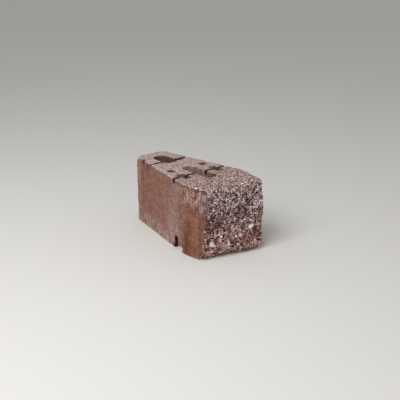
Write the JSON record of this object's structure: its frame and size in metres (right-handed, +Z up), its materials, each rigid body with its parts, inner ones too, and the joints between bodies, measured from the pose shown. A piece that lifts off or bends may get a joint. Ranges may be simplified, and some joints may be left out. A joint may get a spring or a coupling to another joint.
{
  "type": "split-face retaining wall block",
  "caption": "Tapered concrete retaining wall block with a rough split face, open cores, pin holes in its top and a pin channel across its underside.",
  "frame": {"origin": "middle of the underside's bounding box", "axes": "+X to the right seen from the split face, +Y from the split face to the tail, +Z up as laid"},
  "size_m": [0.157, 0.305, 0.15],
  "materials": {
    "concrete": "cast, brown-grey, with one split face"
  },
  "bodies": {
    "root": {"wall_block": "concrete"}
  },
  "joints": []
}
